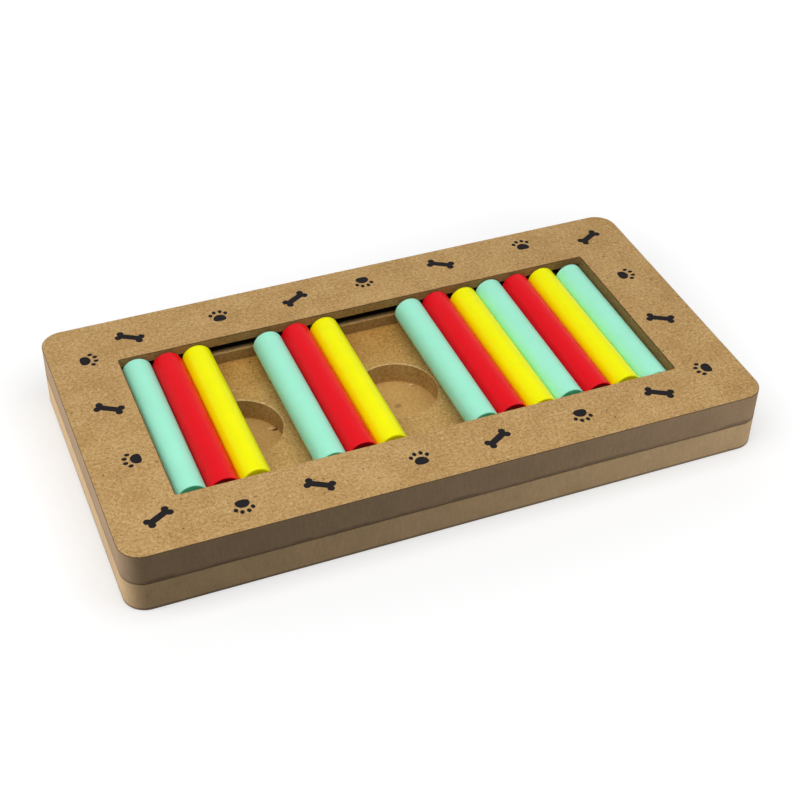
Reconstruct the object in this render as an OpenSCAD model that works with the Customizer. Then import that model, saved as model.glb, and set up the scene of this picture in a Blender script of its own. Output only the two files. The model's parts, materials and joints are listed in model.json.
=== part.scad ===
// Sliding-roller dog puzzle feeder.
// Two MDF boards are glued face to face. The upper board is a frame whose long window
// walls carry a groove, the lower board has round treat cups in its top face.
// Rollers turn on steel axles, and the axle ends slide along the grooves, so a dog
// pushes the rollers along the tray to uncover the cups.
// Origin: centre of the underside. X along the tray, Y across it, Z up. Millimetres.

/* [Boards] */
// Depth of both boards, across the tray
board_w = 153.5; // [125:0.5:190]
// Thickness of the upper board, the frame
frame_t = 15; // [12.5:0.5:18]
// Thickness of the lower board, the base
base_t = 15; // [12.5:0.5:20]
// Width of the frame's rails, the same on all four sides
rail_w = 30; // [20:0.5:40]
// Radius of the boards' outer corners
corner_r = 10; // [4:0.5:16]
// Inside corner radius of the window, left by the router bit
window_r = 1; // [0.5:0.25:4]
// Eased arris on the outer edges of both boards
board_ease = 0.3; // [0.2:0.1:1.5]
// Eased arris round the top of the window
rim_ease = 0.4; // [0.2:0.1:1]

/* [Treat cups] */
// Diameter of a treat cup
cup_d = 38; // [25:0.5:46]
// Depth of a treat cup
cup_depth = 10.3; // [6:0.1:11]
// Eased arris round the top of a cup
cup_ease = 0.2; // [0.1:0.1:1]
// Distance from one cup's centre to the next
cup_pitch = 74; // [55:0.5:76]

/* [Rollers] */
// Diameter of a roller
roller_d = 13.8; // [11.4:0.1:16.6]
// Rounded edge at each end of a roller
roller_edge = 0.5; // [0.3:0.1:1.5]
// Gap between two rollers that lie side by side
roller_gap = 0.2; // [0.1:0.05:0.5]
// Gap between the tray floor and a roller
floor_gap = 0.6; // [0.3:0.1:1]
// Room at each end of a roller, between it and the long window wall
end_gap = 2; // [1:0.25:5]
// Length of tray left free when all the rollers are pushed together
free_run = 48.4; // [20:0.1:100]
// Room between the left window wall and the first roller
left_gap = 0.6; // [0.3:0.1:3]
// Room between the last roller and the right window wall
right_gap = 0.6; // [0.3:0.1:3]
// Share of the free run that lies between the left and the middle group
middle_place = 0.405; // [0.05:0.005:0.95]

/* [Axles and groove] */
// Diameter of an axle
axle_d = 4; // [3:0.1:4.8]
// Chamfer on an axle's ends
axle_chamfer = 0.4; // [0.1:0.1:1]
// Running clearance between axle and roller, on the radius
bore_clearance = 0.08; // [0.02:0.01:0.1]
// Clearance between an axle and the ledge of the groove, which it slides on
ledge_clearance = 0.1; // [0.05:0.05:0.3]
// Room above an axle in the groove
axle_headroom = 1.2; // [0.3:0.1:1.5]
// Depth of the groove behind the window wall
groove_depth = 6; // [3:0.25:10]
// Room between an axle's end and the bottom of the groove
axle_end_gap = 1.2; // [0.5:0.1:2]

/* [Hidden] */
$fn = 96;
// Cuts run this far past the face that they open on
past = 1;

// Rollers in each group, from left to right
GROUPS = [3, 3, 7];
roller_count = GROUPS[0] + GROUPS[1] + GROUPS[2];
cup_count = 3;
// Where each roller has come to rest along its axle, as a share of its end gap
END_PLAY = [0.6, 0.4, 0.6, -0.2, 0.6, 0.4, 0.2, 0.6, -0.15, 0.6, 0.4, 0.5, -0.6];

MDF = [0.73, 0.60, 0.40];
MDF_BASE = [0.66, 0.53, 0.34];
STEEL = [0.72, 0.73, 0.75];
// Mint, red and yellow, repeated along the tray within each group
ROLLER_COLOURS = [[0.63, 0.94, 0.83], [0.90, 0.11, 0.15], [1.00, 0.95, 0.05]];

roller_r = roller_d / 2;
roller_pitch = roller_d + roller_gap;
// Gaps between neighbours inside the three groups
gap_count = roller_count - 3;
window_l = left_gap + roller_count * roller_d + gap_count * roller_gap + free_run + right_gap;
window_w = board_w - 2 * rail_w;
board_l = window_l + 2 * rail_w;
roller_l = window_w - 2 * end_gap;
axle_l = window_w + 2 * (groove_depth - axle_end_gap);
axle_z = base_t + floor_gap + roller_r;
ledge_z = axle_z - axle_d / 2 - ledge_clearance;
groove_h = ledge_clearance + axle_d + axle_headroom;
groove_w = window_w + 2 * groove_depth;
// The loading notch lets the axles in from below before the boards are glued
notch_x = window_l / 2 - right_gap - roller_r;
notch_w = axle_d + axle_headroom;

// Length that a group takes up, from its first roller's left side to its last one's right
function group_l(g) = GROUPS[g] * roller_d + (GROUPS[g] - 1) * roller_gap;
// X of the left side of a group
function group_x(g) =
    g == 0 ? -window_l / 2 + left_gap :
    g == 1 ? group_x(0) + group_l(0) + middle_place * free_run :
    window_l / 2 - right_gap - group_l(2);
// Group that a roller belongs to, and its place in that group, both counted from 0
function group_of(i) = i < GROUPS[0] ? 0 : i < GROUPS[0] + GROUPS[1] ? 1 : 2;
function first_of(g) = g == 0 ? 0 : g == 1 ? GROUPS[0] : GROUPS[0] + GROUPS[1];
function roller_x(i) =
    group_x(group_of(i)) + roller_r + (i - first_of(group_of(i))) * roller_pitch;
function roller_y(i) = END_PLAY[i] * end_gap;
function cup_x(k) = (k - (cup_count - 1) / 2) * cup_pitch;

function two_digits(n) = str(n < 10 ? "0" : "", n);
function axle_name(i) = str("axle_", two_digits(i + 1));
function roller_name(i) = str("roller_", two_digits(i + 1));

// A flat slab with round corners, standing on Z = 0
module slab(l, w, h, r) {
    linear_extrude(h) {
        square([l, w - 2 * r], center = true);
        square([l - 2 * r, w], center = true);
        for (x = [-1, 1], y = [-1, 1])
            translate([x * (l / 2 - r), y * (w / 2 - r)]) circle(r);
    }
}

// The same slab with sides that lean out by grow over its height, or in if grow is negative
module leaning_slab(l, w, h, r, grow) {
    for (x = [-1, 1], y = [-1, 1])
        translate([x * (l / 2 - r), y * (w / 2 - r), 0])
            cylinder(h = h, r1 = r, r2 = r + grow);
    rotate([90, 0, 90])
        linear_extrude(l - 2 * r, center = true)
            polygon([[-w / 2, 0], [w / 2, 0], [w / 2 + grow, h], [-w / 2 - grow, h]]);
    rotate([90, 0, 0])
        linear_extrude(w - 2 * r, center = true)
            polygon([[-l / 2, 0], [l / 2, 0], [l / 2 + grow, h], [-l / 2 - grow, h]]);
}

// A board with its outer arrises eased at top and bottom
module eased_board(t) {
    e = board_ease;
    leaning_slab(board_l - 2 * e, board_w - 2 * e, e, corner_r - e, e);
    translate([0, 0, e]) slab(board_l, board_w, t - 2 * e, corner_r);
    translate([0, 0, t - e]) leaning_slab(board_l, board_w, e, corner_r, -e);
}

// Upper board: a window, a groove in both long window walls, and the loading notch
module top_frame() {
    color(MDF)
        difference() {
            translate([0, 0, base_t]) eased_board(frame_t);
            translate([0, 0, base_t - past]) slab(window_l, window_w, frame_t + 2 * past, window_r);
            translate([0, 0, base_t + frame_t - rim_ease])
                leaning_slab(window_l, window_w, 2 * rim_ease, window_r, 2 * rim_ease);
            translate([-window_l / 2, -groove_w / 2, ledge_z])
                cube([window_l, groove_w, groove_h]);
            translate([notch_x - notch_w / 2, -groove_w / 2, base_t - past])
                cube([notch_w, groove_w, axle_z - base_t + past]);
        }
}

// Lower board: the tray floor, with round flat-bottomed cups in its top face
module base_board() {
    color(MDF_BASE)
        difference() {
            eased_board(base_t);
            for (k = [0 : cup_count - 1])
                translate([cup_x(k), 0, 0]) {
                    translate([0, 0, base_t - cup_depth])
                        cylinder(h = cup_depth + past, d = cup_d);
                    translate([0, 0, base_t - cup_ease])
                        cylinder(h = 2 * cup_ease, d1 = cup_d, d2 = cup_d + 4 * cup_ease);
                }
        }
}

// Steel axle along Y, chamfered at both ends, whose ends ride in the grooves
module axle(i) {
    c = axle_chamfer;
    color(STEEL)
        translate([roller_x(i), 0, axle_z])
            rotate([-90, 0, 0]) {
                cylinder(h = axle_l - 2 * c, d = axle_d, center = true);
                for (side = [0, 1])
                    mirror([0, 0, side])
                        translate([0, 0, axle_l / 2 - c])
                            cylinder(h = c, d1 = axle_d, d2 = axle_d - 2 * c);
            }
}

// Half section of a roller: its wall from the bore out, with round outer edges
module roller_section() {
    bore_r = axle_d / 2 + bore_clearance;
    e = roller_edge;
    translate([bore_r, -roller_l / 2]) square([roller_r - e - bore_r, roller_l]);
    translate([bore_r, -roller_l / 2 + e]) square([roller_r - bore_r, roller_l - 2 * e]);
    for (y = [-1, 1])
        translate([roller_r - e, y * (roller_l / 2 - e)]) circle(e, $fn = 48);
}

// Moulded roller that turns on its axle
module roller(i) {
    color(ROLLER_COLOURS[(i - first_of(group_of(i))) % len(ROLLER_COLOURS)])
        translate([roller_x(i), roller_y(i), axle_z])
            rotate([-90, 0, 0])
                rotate_extrude() roller_section();
}

top_frame();
base_board();
for (i = [0 : roller_count - 1]) {
    axle(i);
    roller(i);
}
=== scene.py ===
import json
import math

import bmesh
import bpy
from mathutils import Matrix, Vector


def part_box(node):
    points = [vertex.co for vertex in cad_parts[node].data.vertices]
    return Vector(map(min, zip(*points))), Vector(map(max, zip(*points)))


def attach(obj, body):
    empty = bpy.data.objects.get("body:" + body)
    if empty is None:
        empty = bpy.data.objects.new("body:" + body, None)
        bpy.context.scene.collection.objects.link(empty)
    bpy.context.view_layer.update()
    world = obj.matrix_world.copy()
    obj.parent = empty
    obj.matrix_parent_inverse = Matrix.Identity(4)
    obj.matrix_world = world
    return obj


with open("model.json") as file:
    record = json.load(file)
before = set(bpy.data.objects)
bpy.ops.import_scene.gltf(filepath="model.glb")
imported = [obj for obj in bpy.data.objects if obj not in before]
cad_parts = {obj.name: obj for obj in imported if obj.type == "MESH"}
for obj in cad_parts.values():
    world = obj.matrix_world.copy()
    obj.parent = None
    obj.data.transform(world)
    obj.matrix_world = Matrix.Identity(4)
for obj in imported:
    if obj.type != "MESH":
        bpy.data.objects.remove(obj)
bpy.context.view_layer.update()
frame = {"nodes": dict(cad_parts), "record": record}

# ---- Camera ----
# A short telephoto lens looks down over the near left corner of the toy. It is held almost
# level, with a slight lean to the right.
MM = 0.001
CAMERA_AT = (-213.4 * MM, -510.7 * MM, 470.4 * MM)
CAMERA_TURN = (50.19, -1.0, -22.02)  # degrees about X, Y and Z
FOCAL_LENGTH = 71.03  # mm, on a 36 mm sensor

scene = bpy.context.scene
lens = bpy.data.cameras.new("lens")
lens.lens = FOCAL_LENGTH
lens.sensor_width = 36
camera = bpy.data.objects.new("camera", lens)
camera.location = CAMERA_AT
camera.rotation_euler = [math.radians(turn) for turn in CAMERA_TURN]
scene.collection.objects.link(camera)
scene.camera = camera
scene.view_settings.view_transform = "Standard"


# ---- Studio ----
# The toy lies on a sheet of white paper in a white room. A wide softbox hangs low over its left
# half, so its sides are in shade and the light fades to the right. Two strip lights stand on the
# paper, no higher than the toy: one lights its left end, one its near side from the right.
PAPER = "C8C8C8"
ROOM = "FFFFFF"
ROOM_LIGHT = 0.22
# The paper glows whiter than the light makes it, and the glow is dimmed round the toy: a painted
# shadow on top of its real soft shadow. The painted shadow is centred a little nearer than the
# toy's middle, and is weaker at its ends.
PAPER_GLOW = (0.39, 1.0)
PAINTED_SHADOW_MIDDLE = (-10 * MM, -15 * MM)
PAINTED_SHADOW_HALF = (122 * MM, 76.75 * MM)
PAINTED_SHADOW_REACH = 260 * MM
PAPER_SIDE = 6.0


def linear(hex_colour):
    """An sRGB hex colour as the linear RGBA that a shader takes."""
    parts = [int(hex_colour[i : i + 2], 16) / 255 for i in (0, 2, 4)]
    return [c / 12.92 if c <= 0.04045 else ((c + 0.055) / 1.055) ** 2.4 for c in parts] + [1.0]


def add(tree, kind, inputs=None, **settings):
    """Adds a shader node with these settings. Each input is set, or linked if it gets a socket."""
    node = tree.nodes.new("ShaderNode" + kind)
    for name, value in settings.items():
        setattr(node, name, value)
    for key, value in (inputs or {}).items():
        if isinstance(value, bpy.types.NodeSocket):
            tree.links.new(value, node.inputs[key])
        else:
            node.inputs[key].default_value = value
    return node


def new_material(name):
    """An empty node material with its output node."""
    material = bpy.data.materials.new(name)
    material.use_nodes = True
    material.node_tree.nodes.clear()
    return material, material.node_tree, add(material.node_tree, "OutputMaterial")


def seen_directly(tree):
    """1 for rays from the camera and for reflected and refracted ones, 0 for diffuse light."""
    ray = add(tree, "LightPath")
    mirrored = add(tree, "Math", {0: ray.outputs["Is Camera Ray"], 1: ray.outputs["Is Glossy Ray"]},
                   operation="MAXIMUM")
    return add(tree, "Math", {0: mirrored.outputs[0], 1: ray.outputs["Is Transmission Ray"]},
               operation="MAXIMUM").outputs[0]


world = bpy.data.worlds.new("white_room")
world.use_nodes = True
scene.world = world
tree = world.node_tree
tree.nodes.clear()
strength = add(tree, "MapRange", {0: seen_directly(tree), "To Min": ROOM_LIGHT, "To Max": 1.0})
room = add(tree, "Background", {"Color": linear(ROOM), "Strength": strength.outputs[0]})
add(tree, "OutputWorld", {"Surface": room.outputs[0]})

paper_finish, tree, output = new_material("white_paper")
paper_colour = add(tree, "BsdfDiffuse", {"Color": linear(PAPER)})
place = add(tree, "TexCoord")
# Painted shadow: the glow is weaker the nearer the paper is to the toy
from_toy = add(tree, "VectorMath", {0: place.outputs["Object"], 1: (*PAINTED_SHADOW_MIDDLE, 0)},
               operation="SUBTRACT")
from_toy = add(tree, "VectorMath", {0: from_toy.outputs[0]}, operation="ABSOLUTE")
from_toy = add(tree, "VectorMath", {0: from_toy.outputs[0], 1: (*PAINTED_SHADOW_HALF, 0)},
               operation="SUBTRACT")
from_toy = add(tree, "VectorMath", {0: from_toy.outputs[0], 1: (0, 0, 0)}, operation="MAXIMUM")
from_toy = add(tree, "VectorMath", {0: from_toy.outputs[0]}, operation="LENGTH")
painted_shadow_glow = add(tree, "MapRange", {0: from_toy.outputs["Value"], "From Max": PAINTED_SHADOW_REACH,
                                   "To Min": PAPER_GLOW[0], "To Max": PAPER_GLOW[1]},
                interpolation_type="SMOOTHSTEP")
glow = add(tree, "Math", {0: seen_directly(tree), 1: painted_shadow_glow.outputs[0]}, operation="MULTIPLY")
paper_glow = add(tree, "Emission", {"Color": linear(ROOM), "Strength": glow.outputs[0]})
paper_sum = add(tree, "AddShader", {0: paper_colour.outputs[0], 1: paper_glow.outputs[0]})
tree.links.new(paper_sum.outputs[0], output.inputs["Surface"])

bpy.ops.mesh.primitive_plane_add(size=PAPER_SIDE)
paper = bpy.context.object
paper.name = "paper"
paper.data.materials.append(paper_finish)


def softbox(name, at, towards, width, height, watts):
    """An area lamp that faces a point, and isn't itself seen."""
    lamp = bpy.data.lights.new(name, "AREA")
    lamp.shape = "RECTANGLE"
    lamp.size = width
    lamp.size_y = height
    lamp.energy = watts
    holder = bpy.data.objects.new(name, lamp)
    holder.location = at
    aim = [b - a for a, b in zip(at, towards)]
    spin = math.atan2(aim[1], aim[0]) - math.pi / 2
    tilt = math.atan2(math.hypot(aim[0], aim[1]), -aim[2])
    holder.rotation_euler = (tilt, 0, spin)
    holder.visible_camera = False
    scene.collection.objects.link(holder)


# Metres and watts
softbox("ceiling_softbox", at=(-0.14, -0.12, 0.6), towards=(-0.14, -0.02, 0),
        width=1.1, height=0.55, watts=4.5)
softbox("left_strip", at=(-0.6, 0.1, 0.017), towards=(0, 0.1, 0.017),
        width=0.36, height=0.028, watts=5.5)
softbox("right_strip", at=(0.24, -0.28, 0.017), towards=(0.12, -0.08, 0.017),
        width=0.15, height=0.028, watts=0.66)


# ---- Boards ----
# Two 15 mm sheets of raw medium-density fibreboard, sawn, routed and glued face to face. The
# pressed faces are a tan felt of fine fibres with pale slivers and dark bark specks, the sawn
# edges are plain and darker with darker arrises, and a brown line of glue shows between them.
# Painted shade darkens the foot of the sawn edges, the frame's window walls, the depth of the
# grooves and the tray floor by the far wall, and a painted highlight lightens the cup rims.
FACE_DARK = "A17C4C"
FACE_MID = "B9945E"
FACE_LIGHT = "CBAA76"
# Pale colour of slivers, also used for the painted highlight round the cup rims
PALE_SLIVER_AND_HIGHLIGHT = "E0C794"
BARK = "4A3220"
FRAME_EDGE = "64523D"
BASE_EDGE = "7F6A4D"
DARK_ARRIS = "45341F"
# Painted highlight on the arrises of the cup rims
CUP_RIM_HIGHLIGHT = "DDC394"
# Colour of the glue line, also used for the painted shade along the foot of the edges
GLUE_AND_FOOT_SHADE = "3A2E22"
GLUE_RISE = 0.6 * MM  # most of the glue was squeezed out upwards
GLUE_WANDER = 2.2 * MM
GLUE_SPREAD = (1.5 * MM, 0.2 * MM)  # from the middle of the glue line, where it starts and is full
GLUE_SHARE = (0.45, 0.6)  # least share of the glue that shows between its streaks, and its depth
FOOT_SHADE = (1.7 * MM, 0.9 * MM)  # height over the floor at which the painted shade along the foot starts and is full
FOOT_SHADE_DEPTH = 0.7
ARRIS_DEPTH = 0.75
GROOVE_SHADE = "120C08"
MDF_IOR = 1.45
MDF_SHEEN = 0.2  # specular level, low because the fibres scatter most of it
MDF_ROUGHNESS = 0.8

CLOUD = 12 * MM
CLOUD_DEPTH = 0.035
FELT = 1.5 * MM
FELT_RISE = 0.06 * MM
GRIT = 0.6 * MM  # the single fibres are finer, and wouldn't show
GRIT_SHARE = 0.45
SAW_MARK = (1.1 * MM, 5 * MM)  # across and along the marks
SAW_WEAR = (0.88, 1.12)
# Slivers, bark and coarse bark: spacing, length, width, share of places that have one, its
# colour and how strong it is
FLECKS = [(5.0 * MM, 2.2 * MM, 0.8 * MM, 0.3, PALE_SLIVER_AND_HIGHLIGHT, 0.4),
          (2.0 * MM, 0.8 * MM, 0.5 * MM, 0.45, BARK, 0.6),
          (8.5 * MM, 1.5 * MM, 0.9 * MM, 0.14, BARK, 0.65)]

WINDOW = (231 * MM, 93.5 * MM)
WINDOW_EASE = 0.5 * MM
GROOVE_DEPTH = 6 * MM
GROOVE_HEIGHT = 5.3 * MM
GROOVE_AT = 23.05 * MM
GROOVE_SHADE_FROM = (1.0 * MM, 4.0 * MM)  # depth in the groove where the painted shade starts and is full

FLOOR_AT = 15 * MM
CUP_FLOOR_AT = 4.7 * MM
LEVEL_REACH = (0.5 * MM, 0.8 * MM)  # how far from its level a face is tray floor or cup floor
CUP_PITCH = 74 * MM
# Painted highlight where each cup's rim catches the light, a pale patchy ring on the tray floor:
# radius, where it fades, where it is full
RIM_HIGHLIGHT = (19.5 * MM, 0.5 * MM, 0.2 * MM)
RIM_HIGHLIGHT_FROM = (-10 * MM, 12 * MM)  # the ring starts at this Y and is full at that
RIM_HIGHLIGHT_DEPTH = 0.7
# Painted shade on the frame's window walls, darker and browner, and a faint tint of the router's
# sawdust on the base's routed faces
WINDOW_WALL_SHADE = "F4ECD8"
FLOOR_DUST = "FFFDEF"
CUP_CORE = "D0A662"  # the paler middle of the board, which the router bared in the cups
CUP_CORE_SHARE = 0.5
# Painted shade on the tray floor, darker and browner towards the far wall
FAR_WALL_SHADE = "F0E0BC"
FAR_WALL_SHADE_FROM = (8 * MM, 44 * MM)  # distance behind the tray's middle where it starts and is full
# A gouge and its chip in the left cup, and a stain and a crumb in the middle one: place, half
# length and width in mm, turn in degrees, whether it is dark, strength
CUP_MARKS = [(-56.8, 5.0, 1.7, 0.75, 8, True, 1.0), (-58.4, 6.7, 1.5, 0.6, 0, False, 0.8),
             (1.2, 0.7, 1.8, 1.5, 20, True, 0.4), (12.6, 12.9, 1.2, 0.8, 0, False, 0.7),
             (13.2, 11.7, 1.2, 0.45, 10, True, 0.6)]


def shade(tree, factor, low, high, blend="MIX"):
    """Blends two colours or sockets by a factor."""
    mix = add(tree, "Mix", data_type="RGBA", blend_type=blend)
    for key, value in ((0, factor), (6, low), (7, high)):
        if isinstance(value, bpy.types.NodeSocket):
            tree.links.new(value, mix.inputs[key])
        else:
            mix.inputs[key].default_value = value
    return mix.outputs[2]


def product(tree, *factors):
    """Multiplies sockets or numbers."""
    result = factors[0]
    for factor in factors[1:]:
        result = add(tree, "Math", {0: result, 1: factor}, operation="MULTIPLY").outputs[0]
    return result


def distance(tree, coordinate, middle=0.0):
    """How far a coordinate is from a middle."""
    off = add(tree, "Math", {0: coordinate, 1: middle}, operation="SUBTRACT")
    return add(tree, "Math", {0: off.outputs[0]}, operation="ABSOLUTE").outputs[0]


def within(tree, away, reach):
    """1 where a distance is less than this."""
    return add(tree, "Math", {0: away, 1: reach}, operation="LESS_THAN").outputs[0]


def flecks(tree, at, spacing, length, width, share):
    """A mask of short straight fibres, each turned its own way in its own Voronoi cell."""
    cells = add(tree, "TexVoronoi", {"Vector": at, "Scale": 1 / spacing}, voronoi_dimensions="2D")
    dice = add(tree, "SeparateColor", {0: cells.outputs["Color"]})
    from_centre = add(tree, "VectorMath", {0: at, 1: cells.outputs["Position"]},
                      operation="SUBTRACT")
    turned = add(tree, "VectorRotate", {"Vector": from_centre.outputs[0],
                                        "Angle": product(tree, dice.outputs[0], math.pi)},
                 rotation_type="Z_AXIS")
    fitted = add(tree, "VectorMath", {0: turned.outputs[0], 1: (2 / length, 2 / width, 0)},
                 operation="MULTIPLY")
    reach = add(tree, "VectorMath", {0: fitted.outputs[0]}, operation="LENGTH")
    inside = add(tree, "MapRange", {0: reach.outputs["Value"], "From Min": 1.1, "From Max": 0.5})
    return product(tree, inside.outputs[0], within(tree, dice.outputs[1], share))


def tray_floor(tree, colour, at, xyz, ragged, routed):
    """A painted highlight round the cup rims, painted shade along the far wall, bared cores and
    marks.
    """
    on_floor = within(tree, distance(tree, xyz.outputs["Z"], FLOOR_AT), LEVEL_REACH[0])
    cup_x = add(tree, "Math", {0: xyz.outputs["X"], 1: CUP_PITCH / 2, 2: -CUP_PITCH / 2},
                operation="WRAP")
    from_cup = add(tree, "CombineXYZ", {"X": cup_x.outputs[0], "Y": xyz.outputs["Y"]})
    from_cup = add(tree, "VectorMath", {0: from_cup.outputs[0]}, operation="LENGTH")
    off = distance(tree, from_cup.outputs["Value"], RIM_HIGHLIGHT[0])
    ring = add(tree, "MapRange", {0: off, "From Min": RIM_HIGHLIGHT[1], "From Max": RIM_HIGHLIGHT[2]})
    patchy = add(tree, "MapRange", {0: ragged, "From Min": 0.42, "From Max": 0.58})
    behind = add(tree, "MapRange", {0: xyz.outputs["Y"], "From Min": RIM_HIGHLIGHT_FROM[0],
                                    "From Max": RIM_HIGHLIGHT_FROM[1]})
    # Painted highlight: a pale ring beside the far half of each cup rim
    painted_rim_highlight = product(tree, ring.outputs[0], patchy.outputs[0], behind.outputs[0], on_floor,
                     RIM_HIGHLIGHT_DEPTH)
    colour = shade(tree, painted_rim_highlight, colour, linear(PALE_SLIVER_AND_HIGHLIGHT))
    # Painted shade: the floor darkens towards the far wall
    far_wall_shade_mask = add(tree, "MapRange", {0: xyz.outputs["Y"], "From Min": FAR_WALL_SHADE_FROM[0],
                                  "From Max": FAR_WALL_SHADE_FROM[1]})
    colour = shade(tree, product(tree, far_wall_shade_mask.outputs[0], on_floor), colour, linear(FAR_WALL_SHADE),
                   "MULTIPLY")
    in_cup = within(tree, distance(tree, xyz.outputs["Z"], CUP_FLOOR_AT), LEVEL_REACH[1])
    colour = shade(tree, product(tree, in_cup, routed, CUP_CORE_SHARE), colour, linear(CUP_CORE))
    for x, y, length, width, turn, dark, strength in CUP_MARKS:
        moved = add(tree, "VectorMath", {0: at, 1: (x * MM, y * MM, CUP_FLOOR_AT)},
                    operation="SUBTRACT")
        turned = add(tree, "VectorRotate", {"Vector": moved.outputs[0],
                                            "Angle": math.radians(-turn)},
                     rotation_type="Z_AXIS")
        fitted = add(tree, "VectorMath", {0: turned.outputs[0],
                                          1: (1 / (length * MM), 1 / (width * MM), 0)},
                     operation="MULTIPLY")
        reach = add(tree, "VectorMath", {0: fitted.outputs[0]}, operation="LENGTH")
        rough = add(tree, "Math", {0: reach.outputs["Value"], 1: ragged}, operation="ADD")
        inside = add(tree, "MapRange", {0: rough.outputs[0], "From Min": 1.6, "From Max": 1.1})
        colour = shade(tree, product(tree, inside.outputs[0], in_cup, strength), colour,
                       linear(BARK if dark else PALE_SLIVER_AND_HIGHLIGHT))
    return colour


def mdf(name, edge_colour, arris_tone_and_highlight, routed_felt, routed_dust_and_shade, is_base):
    """Raw MDF: fibrous where it was pressed, partly so where routed, plain where it was sawn."""
    material, tree, output = new_material(name)
    place = add(tree, "TexCoord")
    at = place.outputs["Object"]
    xyz = add(tree, "SeparateXYZ", {0: at})
    facing = add(tree, "SeparateXYZ", {0: place.outputs["Normal"]})
    level = distance(tree, facing.outputs["Z"])
    pressed = add(tree, "MapRange", {0: level, "From Min": 0.8, "From Max": 0.95})

    # The felt of fibres, with denser and looser clouds in it, and slivers that lie in its face.
    # Noise keeps mostly between 0.3 and 0.7, round 0.5.
    clouds = add(tree, "TexNoise", {"Vector": at, "Scale": 1 / CLOUD, "Detail": 3})
    felt = add(tree, "TexNoise", {"Vector": at, "Scale": 1 / FELT, "Detail": 5, "Roughness": 0.7})
    grit = add(tree, "TexNoise", {"Vector": at, "Scale": 1 / GRIT, "Detail": 3, "Roughness": 0.7})
    soft = add(tree, "MapRange", {0: clouds.outputs["Fac"], "From Min": 0.3, "From Max": 0.7,
                                  "To Min": -CLOUD_DEPTH, "To Max": CLOUD_DEPTH})
    grain = add(tree, "Mix", {0: GRIT_SHARE, 2: felt.outputs["Fac"], 3: grit.outputs["Fac"]})
    grain = add(tree, "Math", {0: grain.outputs[0], 1: soft.outputs[0]}, operation="ADD")
    dark = add(tree, "MapRange", {0: grain.outputs[0], "From Min": 0.5, "From Max": 0.4})
    light = add(tree, "MapRange", {0: grain.outputs[0], "From Min": 0.5, "From Max": 0.61})
    face = shade(tree, dark.outputs[0], linear(FACE_MID), linear(FACE_DARK))
    face = shade(tree, light.outputs[0], face, linear(FACE_LIGHT))
    for *size, colour, strength in FLECKS:
        lying = product(tree, flecks(tree, at, *size), pressed.outputs[0], strength)
        face = shade(tree, lying, face, linear(colour))

    # The sawn edge: faint upright saw marks, and the line of glue where the boards meet
    across, along = SAW_MARK
    saw = add(tree, "Mapping", {"Vector": at, "Scale": (1 / across, 1 / across, 1 / along)})
    marks = add(tree, "TexNoise", {"Vector": saw.outputs[0], "Scale": 1.0, "Detail": 3})
    worn = add(tree, "Math", {0: marks.outputs["Fac"], 1: felt.outputs["Fac"]}, operation="ADD")
    worn = add(tree, "Math", {0: worn.outputs[0], 1: clouds.outputs["Fac"]}, operation="ADD")
    worn = add(tree, "MapRange", {0: worn.outputs[0], "From Min": 1.1, "From Max": 1.9,
                                  "To Min": SAW_WEAR[0], "To Max": SAW_WEAR[1]})
    edge = add(tree, "VectorMath", {0: linear(edge_colour)[:3], "Scale": worn.outputs[0]},
               operation="SCALE").outputs[0]
    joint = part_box("base_board")[1][2] + GLUE_RISE
    wander = add(tree, "Math", {0: felt.outputs["Fac"], 1: clouds.outputs["Fac"]},
                 operation="ADD")
    wander = add(tree, "Math", {0: wander.outputs[0], 1: GLUE_WANDER, 2: joint - GLUE_WANDER},
                 operation="MULTIPLY_ADD")
    glued = add(tree, "MapRange", {0: distance(tree, xyz.outputs["Z"], wander.outputs[0]),
                                   "From Min": GLUE_SPREAD[0], "From Max": GLUE_SPREAD[1],
                                   "To Max": GLUE_SHARE[1]})
    streaks = add(tree, "MapRange", {0: clouds.outputs["Fac"], "From Min": 0.4, "From Max": 0.6,
                                     "To Min": GLUE_SHARE[0]})
    edge = shade(tree, product(tree, glued.outputs[0], streaks.outputs[0]), edge,
                 linear(GLUE_AND_FOOT_SHADE))
    # Painted shade: the sawn edges darken towards the floor at their foot
    painted_foot_shade = add(tree, "MapRange", {0: xyz.outputs["Z"], "From Min": FOOT_SHADE[0],
                                    "From Max": FOOT_SHADE[1], "To Max": FOOT_SHADE_DEPTH})
    edge = shade(tree, painted_foot_shade.outputs[0], edge, linear(GLUE_AND_FOOT_SHADE))

    # What lies in the window was cut by a router, and what slopes is an arris
    from_x, from_y = distance(tree, xyz.outputs["X"]), distance(tree, xyz.outputs["Y"])
    routed = product(tree, within(tree, from_x, WINDOW[0] / 2 + WINDOW_EASE),
                     within(tree, from_y, WINDOW[1] / 2 + WINDOW_EASE))
    fibrous = add(tree, "Math", {0: pressed.outputs[0], 1: product(tree, routed, routed_felt)},
                  operation="MAXIMUM")
    colour = shade(tree, fibrous.outputs[0], edge, face)
    sloping = within(tree, distance(tree, level, math.sqrt(0.5)), 0.15)
    # The frame's arrises are darker; on the base the cup rims get a painted highlight
    arris = shade(tree, routed, linear(DARK_ARRIS), linear(arris_tone_and_highlight))
    colour = shade(tree, product(tree, sloping, ARRIS_DEPTH), colour, arris)
    # Painted shade on the frame's window walls; on the base, a faint sawdust tint
    colour = shade(tree, routed, colour, linear(routed_dust_and_shade), "MULTIPLY")

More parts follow.
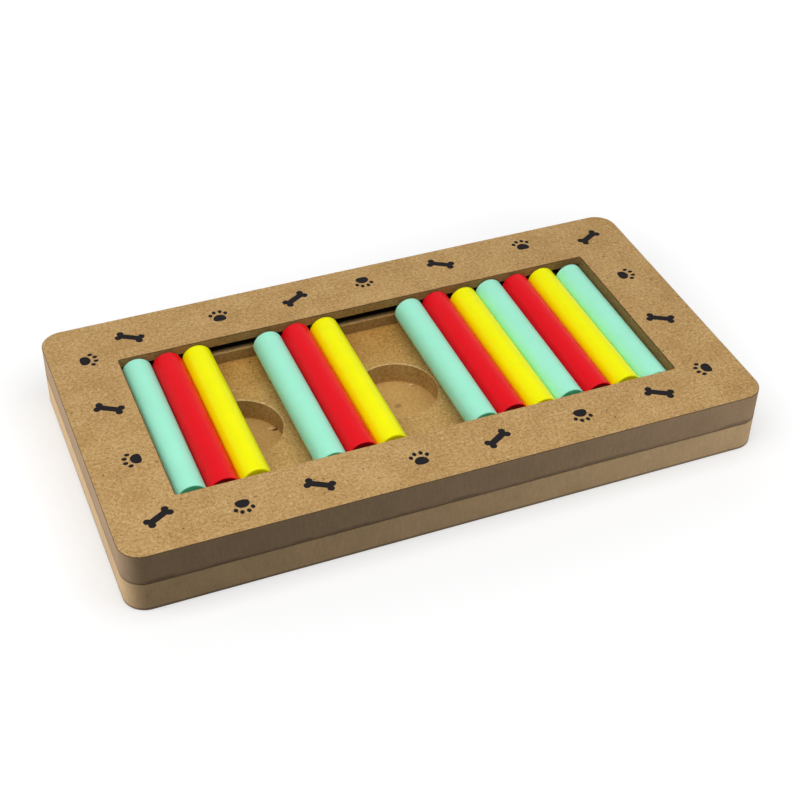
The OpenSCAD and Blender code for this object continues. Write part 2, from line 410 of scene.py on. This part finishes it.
    # Painted shade: the groove darkens to near black deeper in, under the lip that shades it
    start, full = [WINDOW[1] / 2 + depth for depth in GROOVE_SHADE_FROM]
    deep = add(tree, "MapRange", {0: from_y, "From Min": start, "From Max": full})
    from_groove = distance(tree, xyz.outputs["Z"], GROOVE_AT)
    painted_groove_shade = product(tree, deep.outputs[0],
                    within(tree, from_x, WINDOW[0] / 2 + WINDOW_EASE),
                    within(tree, from_y, WINDOW[1] / 2 + GROOVE_DEPTH + WINDOW_EASE),
                    within(tree, from_groove, GROOVE_HEIGHT / 2 + WINDOW_EASE))
    colour = shade(tree, painted_groove_shade, colour, linear(GROOVE_SHADE))
    if is_base:
        colour = tray_floor(tree, colour, at, xyz, felt.outputs["Fac"], routed)

    # The felt stands up a few hundredths of a millimetre
    fuzz = add(tree, "Math", {0: grit.outputs["Fac"], 1: felt.outputs["Fac"]}, operation="ADD")
    bump = add(tree, "Bump", {"Height": fuzz.outputs[0], "Distance": FELT_RISE, "Strength": 0.6})
    skin = add(tree, "BsdfPrincipled", {"Base Color": colour, "Roughness": MDF_ROUGHNESS,
                                        "IOR": MDF_IOR, "Specular IOR Level": MDF_SHEEN,
                                        "Normal": bump.outputs[0]})
    tree.links.new(skin.outputs[0], output.inputs["Surface"])
    return material


frame_board = mdf("raw_mdf_frame", FRAME_EDGE, DARK_ARRIS, routed_felt=0.6,
                  routed_dust_and_shade=WINDOW_WALL_SHADE, is_base=False)
base_board = mdf("raw_mdf_base", BASE_EDGE, CUP_RIM_HIGHLIGHT, routed_felt=0.9,
                 routed_dust_and_shade=FLOOR_DUST, is_base=True)
frame["nodes"]["top_frame"].material_slots[0].material = frame_board
frame["nodes"]["base_board"].material_slots[0].material = base_board


# ---- Axles ----
# A length of bright drawn steel rod through each roller, cut off and chamfered at both ends,
# which slide in the grooves of the frame.
STEEL = "B8BABD"
DRAW_LINE = (0.15 * MM, 30 * MM)  # across and along the lines, the real ones are finer
STEEL_ROUGHNESS = (0.22, 0.42)


def drawn_steel():
    """Steel rod with fine draw lines along it."""
    material, tree, output = new_material("bright_drawn_steel")
    place = add(tree, "TexCoord")
    across, along = DRAW_LINE
    lines = add(tree, "Mapping", {"Vector": place.outputs["Object"],
                                  "Scale": (1 / across, 1 / along, 1 / across)})
    drawn = add(tree, "TexNoise", {"Vector": lines.outputs[0], "Scale": 1.0, "Detail": 2})
    dull = add(tree, "MapRange", {0: drawn.outputs["Fac"], "To Min": STEEL_ROUGHNESS[0],
                                  "To Max": STEEL_ROUGHNESS[1]})
    metal = add(tree, "BsdfPrincipled", {"Base Color": linear(STEEL), "Metallic": 1.0,
                                         "Roughness": dull.outputs[0]})
    tree.links.new(metal.outputs[0], output.inputs["Surface"])
    return material


steel = drawn_steel()
for name, node in frame["nodes"].items():
    if name.startswith("axle_"):
        node.material_slots[0].material = steel


# ---- Rollers ----
# Moulded plastic rods with softly rounded ends, mint, red and yellow by turns. The plastic has
# a satin skin with a faint ripple from the mould, and scuffs where the rollers rub together.
# The flat ends are painted darker than the skin: painted shade, where they face the window walls.
ROLLER_COLOURS = {"roller_mint": ("A7F2D6", "62D49C"), "roller_red": ("E80C1B", "960A16"),
                  "roller_yellow": ("FFFC00", "FFF000")}  # skin, painted shade on the flat ends
PLASTIC_IOR = 1.5
PLASTIC_SHEEN = 0.1  # specular level, low because the skin is satin
PLASTIC_ROUGHNESS = (0.27, 0.40)
LIGHT_SPREAD = 1.8 * MM  # how far light wanders inside the plastic, which softens its shading
LIGHT_SHARE = 0.7  # share of the light that does
FLOW_MARK = 9 * MM
FLOW_TINT = (0.97, 1.0)
RIPPLE = 1.4 * MM
RIPPLE_RISE = 0.01 * MM
SCUFF = 0.6 * MM


def satin_plastic(name, colour, end_shade_colour):
    """Moulded plastic: an even colour with painted shade on the flat ends, a satin skin, a faint
    ripple and fine scuffs.
    """
    material, tree, output = new_material(name)
    place = add(tree, "TexCoord")
    at = place.outputs["Object"]
    flow = add(tree, "TexNoise", {"Vector": at, "Scale": 1 / FLOW_MARK, "Detail": 2})
    tint = add(tree, "MapRange", {0: flow.outputs["Fac"], "From Min": 0.3, "From Max": 0.7,
                                  "To Min": FLOW_TINT[0], "To Max": FLOW_TINT[1]})
    facing = add(tree, "SeparateXYZ", {0: place.outputs["Normal"]})
    # Painted shade: the flat ends, which face the window walls, are darker
    shaded_end = add(tree, "MapRange", {0: distance(tree, facing.outputs["Y"]), "From Min": 0.85,
                                    "From Max": 0.98})
    body = shade(tree, shaded_end.outputs[0], linear(colour), linear(end_shade_colour))
    body = add(tree, "VectorMath", {0: body, "Scale": tint.outputs[0]}, operation="SCALE")
    ripple = add(tree, "TexNoise", {"Vector": at, "Scale": 1 / RIPPLE, "Detail": 2})
    scuffs = add(tree, "TexNoise", {"Vector": at, "Scale": 1 / SCUFF, "Detail": 4})
    dull = add(tree, "MapRange", {0: scuffs.outputs["Fac"], "From Min": 0.3, "From Max": 0.7,
                                  "To Min": PLASTIC_ROUGHNESS[0],
                                  "To Max": PLASTIC_ROUGHNESS[1]})
    bump = add(tree, "Bump", {"Height": ripple.outputs["Fac"], "Distance": RIPPLE_RISE,
                              "Strength": 0.5})
    skin = add(tree, "BsdfPrincipled", {"Base Color": body.outputs[0], "IOR": PLASTIC_IOR,
                                        "Specular IOR Level": PLASTIC_SHEEN,
                                        "Subsurface Weight": LIGHT_SHARE,
                                        "Subsurface Radius": (1.0, 1.0, 1.0),
                                        "Subsurface Scale": LIGHT_SPREAD,
                                        "Roughness": dull.outputs[0], "Normal": bump.outputs[0]})
    tree.links.new(skin.outputs[0], output.inputs["Surface"])
    return material


plastics = {slot: satin_plastic("satin_plastic_" + slot, *colours)
            for slot, colours in ROLLER_COLOURS.items()}
for part in frame["record"]["subparts"]:
    if part["material_slot"] in plastics:
        node = frame["nodes"][part["node"]]
        node.material_slots[0].material = plastics[part["material_slot"]]


# ---- Printed bones and paws ----
# Charcoal ink, screen printed straight on the raw board after sanding: ten dog bones and ten
# paw marks by turns round the frame. The ink is thin and matt, and the felt shows through.
INK = "1A1B1F"
INK_GRAIN = 0.5 * MM
INK_RISE = 0.04 * MM
INK_THIN = 0.25  # share of the board that shows where the ink is thinnest
INK_ROUGHNESS = 0.85
INK_SHEEN = 0.1
INK_THICK = 0.02 * MM
INK_SUNK = 0.1 * MM
CURVE_STEPS = 24

BONE_LOBE = 1.58 * MM
BONE_LOBE_AT = (4.95 * MM, 1.47 * MM)
BONE_SHAFT = 1.6 * MM
BONE_NOTCH = 5.6 * MM

PAD_HALF = 3.05 * MM
PAD_TOP = 2.9 * MM
PAD_BOTTOM = 1.9 * MM
PAD_MIDDLE = -0.4 * MM
PAD_SQUARE = 2.5  # how square the lower half of the pad is, 2 being an ellipse
TOE = (0.94 * MM, 1.14 * MM)
TOES_AT = ((-3.6, 3.0, 8), (-1.43, 4.7, 4), (1.43, 4.7, -4), (3.6, 3.0, -8))  # mm, mm, degrees

# Centre in mm from the middle of the toy, and degrees that the motif is turned by
BONES = [(-106.5, 61.5, -30), (-26.5, 63, 30), (49, 65, -30), (127.5, 60.5, 30),
         (128, -11.5, -30), (100.5, -59.5, -30), (21, -62, 30), (-59, -62, -30),
         (-125.5, -57, 30), (-127.5, 15.5, -30)]
PAWS = [(-129.5, 51.5, -90), (-64, 61, 0), (8.5, 66, 180), (93, 64.5, 0), (128, 25.5, -90),
        (129, -51.5, 90), (61.5, -59.5, 180), (-14.5, -63.5, 0), (-92, -61.5, 180),
        (-125, -20, 90)]


def bone_outline():
    """A bone: a straight shaft, and two round lobes with a notch between them at each end."""
    lobe_x, lobe_y = BONE_LOBE_AT
    start = -math.acos((BONE_NOTCH - lobe_x) / BONE_LOBE)
    end = math.pi - math.asin((BONE_SHAFT - lobe_y) / BONE_LOBE)
    angles = [start + (end - start) * k / CURVE_STEPS for k in range(CURVE_STEPS + 1)]
    lobe = [(lobe_x + BONE_LOBE * math.cos(a), lobe_y + BONE_LOBE * math.sin(a)) for a in angles]
    half = lobe + [(-x, y) for x, y in reversed(lobe)]
    return half + [(-x, -y) for x, y in half]


def pad_outline():
    """The pad of a paw: a half ellipse above, and a squarer half below."""
    points = []
    for k in range(2 * CURVE_STEPS):
        a = math.pi * k / CURVE_STEPS
        c, s = math.cos(a), math.sin(a)
        power = 1.0 if s >= 0 else 2 / PAD_SQUARE
        x = math.copysign(abs(c) ** power, c) * PAD_HALF
        y = math.copysign(abs(s) ** power, s) * (PAD_TOP if s >= 0 else PAD_BOTTOM)
        points.append((x, y + PAD_MIDDLE))
    return points


def toe_outline(x, y, lean):
    """A toe: a small upright ellipse that leans outwards."""
    lean = math.radians(lean)
    points = []
    for k in range(CURVE_STEPS):
        a = 2 * math.pi * k / CURVE_STEPS
        u, v = TOE[0] * math.cos(a), TOE[1] * math.sin(a)
        points.append((x * MM + u * math.cos(lean) - v * math.sin(lean),
                       y * MM + u * math.sin(lean) + v * math.cos(lean)))
    return points


def printing_ink():
    """Thin matt ink, a little uneven where it sank into the board."""
    material, tree, output = new_material("screen_printing_ink")
    place = add(tree, "TexCoord")
    sunk = add(tree, "TexNoise", {"Vector": place.outputs["Object"], "Scale": 1 / INK_GRAIN,
                                  "Detail": 4, "Roughness": 0.7})
    thin = add(tree, "MapRange", {0: sunk.outputs["Fac"], "From Min": 0.4, "From Max": 0.75,
                                  "To Max": INK_THIN})
    colour = shade(tree, thin.outputs[0], linear(INK), linear(BARK))
    bump = add(tree, "Bump", {"Height": sunk.outputs["Fac"], "Distance": INK_RISE,
                              "Strength": 0.6})
    skin = add(tree, "BsdfPrincipled", {"Base Color": colour, "Roughness": INK_ROUGHNESS,
                                        "Specular IOR Level": INK_SHEEN,
                                        "Normal": bump.outputs[0]})
    tree.links.new(skin.outputs[0], output.inputs["Surface"])
    return material


def print_motif(name, outlines, x, y, turn):
    """A thin layer of ink in these outlines, on the frame at x, y."""
    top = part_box("top_frame")[1][2]
    turn = math.radians(turn)
    mesh = bpy.data.meshes.new(name)
    shape = bmesh.new()
    for outline in outlines:
        rings = []
        for z in (top - INK_SUNK, top + INK_THICK):
            rings.append([shape.verts.new((x * MM + u * math.cos(turn) - v * math.sin(turn),
                                           y * MM + u * math.sin(turn) + v * math.cos(turn), z))
                          for u, v in outline])
        shape.faces.new(rings[1])
        shape.faces.new(rings[0][::-1])
        for k in range(len(outline)):
            j = (k + 1) % len(outline)
            shape.faces.new((rings[0][k], rings[0][j], rings[1][j], rings[1][k]))
    shape.to_mesh(mesh)
    shape.free()
    mesh.materials.append(ink)
    piece = bpy.data.objects.new(name, mesh)
    scene.collection.objects.link(piece)
    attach(piece, "tray")


ink = printing_ink()
paw_outlines = [pad_outline()] + [toe_outline(*toe) for toe in TOES_AT]
for number, (x, y, turn) in enumerate(BONES, 1):
    print_motif(f"printed_bone_{number:02d}", [bone_outline()], x, y, turn)
for number, (x, y, turn) in enumerate(PAWS, 1):
    print_motif(f"printed_paw_{number:02d}", paw_outlines, x, y, turn)
